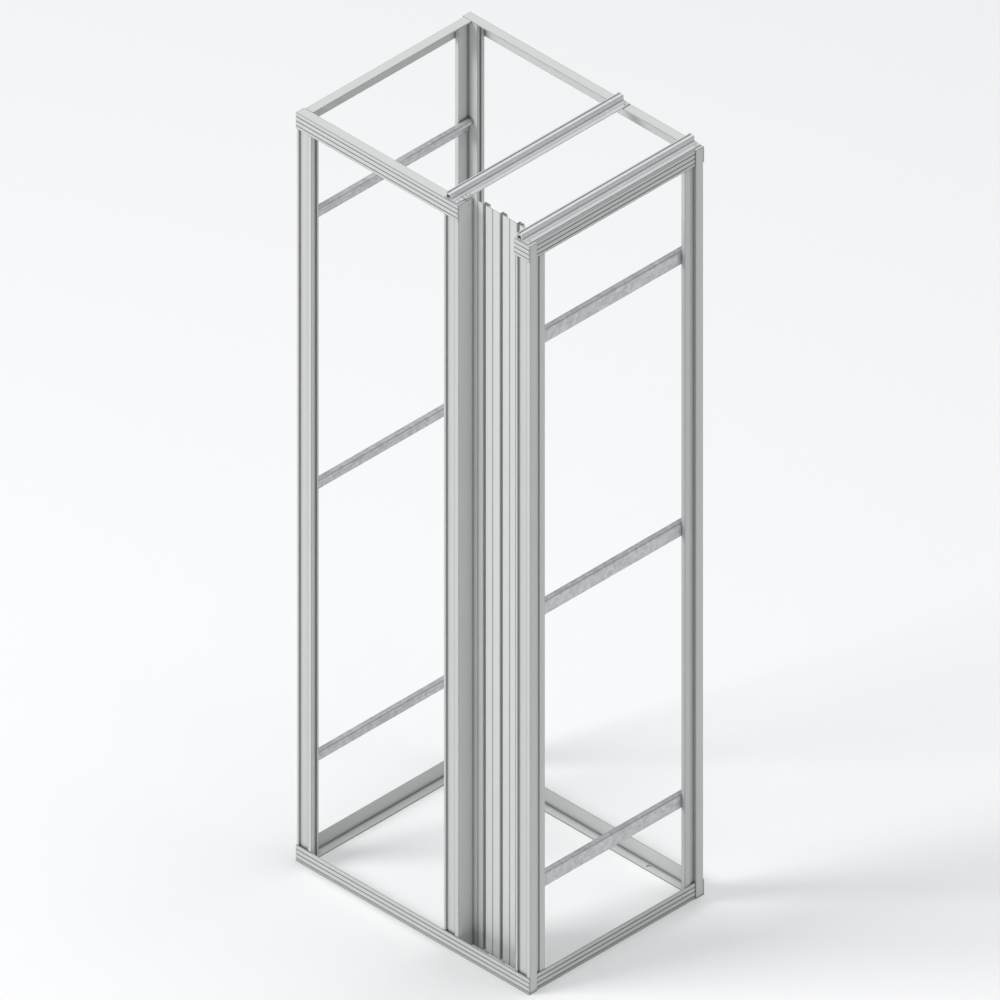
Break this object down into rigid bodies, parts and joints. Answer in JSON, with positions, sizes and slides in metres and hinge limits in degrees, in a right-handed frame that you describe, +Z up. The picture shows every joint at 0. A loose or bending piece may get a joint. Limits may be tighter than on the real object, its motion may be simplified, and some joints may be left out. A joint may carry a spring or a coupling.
{
  "type": "open-frame rack",
  "caption": "Tall open-frame rack of grooved angle beams and folded posts, with side rails, top rails and a slatted cable channel beside the equipment bay.",
  "frame": {"origin": "centre of the footprint, on the floor", "axes": "+X to the right across the front, -Y out of the front, +Z up"},
  "size_m": [0.8, 0.6, 2.241],
  "materials": {
    "frame_paint": "light grey fine-texture powder coat",
    "slat_paint": "light grey smooth powder coat",
    "rail_zinc": "galvanised steel sheet",
    "top_rail_aluminium": "natural anodised extrusion",
    "screw_zinc": "bright zinc plate"
  },
  "bodies": {
    "root": {"front_top_beam": "frame_paint", "front_top_stub": "frame_paint", "rear_top_beam": "frame_paint", "left_top_beam": "frame_paint", "right_top_beam": "frame_paint", "front_bottom_beam": "frame_paint", "rear_bottom_beam": "frame_paint", "left_bottom_beam": "frame_paint", "right_bottom_beam": "frame_paint", "front_left_post": "frame_paint", "front_right_post": "frame_paint", "rear_left_post": "frame_paint", "rear_right_post": "frame_paint", "centre_post": "frame_paint", "edge_plate": "slat_paint", "first_slat": "slat_paint", "second_slat": "slat_paint", "end_slat": "slat_paint", "left_lower_rail": "rail_zinc", "left_middle_rail": "rail_zinc", "left_upper_rail": "rail_zinc", "right_lower_rail": "rail_zinc", "right_middle_rail": "rail_zinc", "right_upper_rail": "rail_zinc", "plate_bracket": "rail_zinc", "centre_top_rail": "top_rail_aluminium", "right_top_rail": "top_rail_aluminium", "rail_screws": "screw_zinc", "top_rail_screws": "screw_zinc", "bracket_screws": "screw_zinc"}
  },
  "joints": []
}
